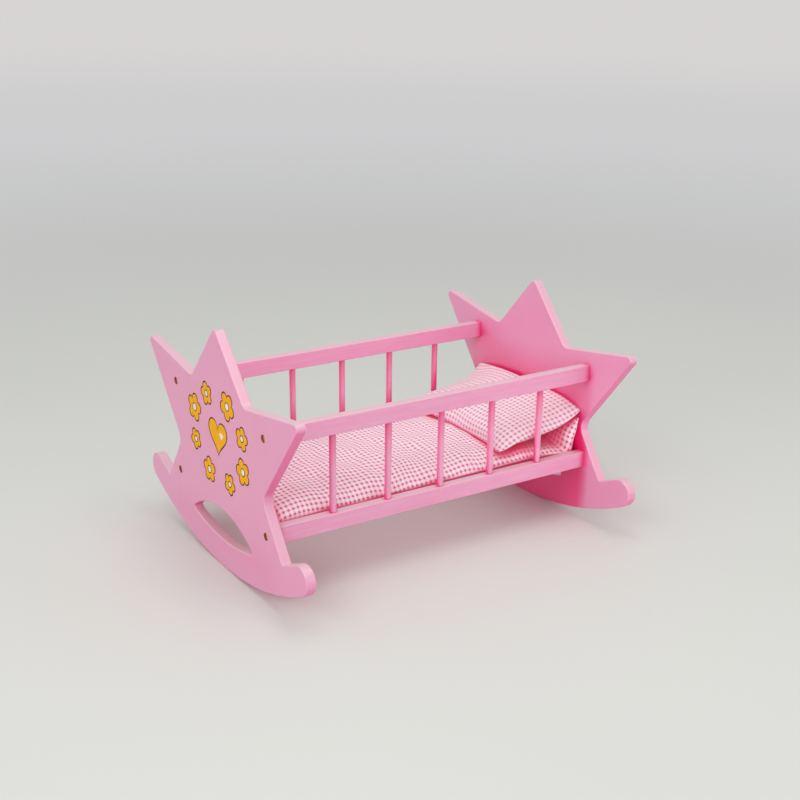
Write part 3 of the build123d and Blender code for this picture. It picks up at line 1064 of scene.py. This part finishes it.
# %% Pillow seam sheet
# Places in mm from the foot edge to the head edge, at the near side, the middle and the far side
pillow_seat = np.array([
    [[94, -108, 111], [138, -109, 131], [182, -110, 121], [227, -112, 149.5]],
    [[108, 0, 114], [141, 0, 127], [182, 0, 145], [220, 0, 162]],
    [[88, 108, 113], [138, 109, 119], [198, 109, 116], [221, 108, 156]],
]) * MM
pillow_bluntness = 0.05
pillow_upper_swell = 16 * MM
pillow_lower_swell = 5 * MM
pillow_slump = 0.4
pillow_end_steepness = 2.6
pillow_side_steepness = 4
print("Pillow swells", round(pillow_upper_swell / MM), "mm up from its seam, less at the head edge")


def bezier_weights(share, order):
    """How much each of a Bezier line's points counts at a share of its length."""
    return [math.comb(order, k) * share**k * (1 - share) ** (order - k) for k in range(order + 1)]


def pillow_middle(along, across):
    """Places on the pillow's seam sheet."""
    places = 0
    for row, row_weight in zip(pillow_seat, bezier_weights(across, 2)):
        for corner, weight in zip(row, bezier_weights(along, 3)):
            places = places + (row_weight * weight)[:, None] * corner
    return places


# %% Pillow panels
direction_step = 0.01
samples_per_column = 4
samples_per_pillow_row = 6


def pillow_panel(columns, rows, swell):
    """One panel of the pillow, as a grid of points that swells from the seam sheet."""
    across = (1 - np.cos(np.linspace(0, math.pi, samples_per_pillow_row * rows + 1))) / 2
    panel = []
    for share in (1 - np.cos(np.linspace(0, math.pi, samples_per_column * columns + 1))) / 2:
        along = share + 0 * across
        seat_along, seat_across = blunted(along, across, pillow_bluntness)
        ahead = (pillow_middle(along + direction_step, across)
                 - pillow_middle(along - direction_step, across))
        aside = (pillow_middle(along, across + direction_step)
                 - pillow_middle(along, across - direction_step))
        up = np.cross(ahead, aside)
        up = up / np.linalg.norm(up, axis=1, keepdims=True)
        lift = swell * fullness(2 * along - 1, pillow_end_steepness)
        lift = lift * fullness(2 * across - 1, pillow_side_steepness)
        lift = lift * (1 - pillow_slump * along**3)
        panel.append(evenly(pillow_middle(seat_along, seat_across) + up * lift[:, None], rows))
    panel = np.array(panel)
    return np.stack([evenly(panel[:, row], columns) for row in range(rows + 1)], axis=1)


# %% Sew the pillow
pillow_columns = 32
pillow_rows = 52
pillow_cut = (136 * MM, 224 * MM)
pillow_swell_cap = 4 * MM
pillow, pillow_rest = sew_bag(
    "gingham_pillow", pillow_panel(pillow_columns, pillow_rows, pillow_upper_swell),
    pillow_panel(pillow_columns, pillow_rows, -pillow_lower_swell), pillow_cut, pillow_cotton,
    pillow_bluntness)
stuff(pillow, pillow_rest, pillow_swell_cap)
keep_inside(pillow, bed_low, bed_high)
refine(pillow)
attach(pillow, "pillow")
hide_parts("pillow")

# %% [markdown]
# ## Where the pillow lies
# The quilt is the softer of the two, so it gives way under the pillow. Two cloths that collide
# would find that too, but slowly, and not without a few crossings. Here each of the quilt's
# points that would be in the pillow just goes down to a little under it.

# %% Press the quilt down
def tree_of(piece):
    """A piece's surface, ready for questions about distance."""
    return BVHTree.FromPolygons(
        [point.co for point in piece.data.vertices],
        [polygon.vertices for polygon in piece.data.polygons])


bedding_gap = 0.5 * MM
pillow_tree = tree_of(pillow)
pressed = 0
for point in quilt.data.vertices:
    pillow_underside = pillow_tree.ray_cast(Vector((point.co.x, point.co.y, 0)), Vector((0, 0, 1)))[0]
    if pillow_underside and point.co.z > pillow_underside.z - bedding_gap:
        point.co.z = pillow_underside.z - bedding_gap
        pressed += 1
quilt.data.update()
crossings = tree_of(quilt).overlap(pillow_tree)
print("Points of the quilt pressed down:", pressed, "faces that still cross:", len(crossings))
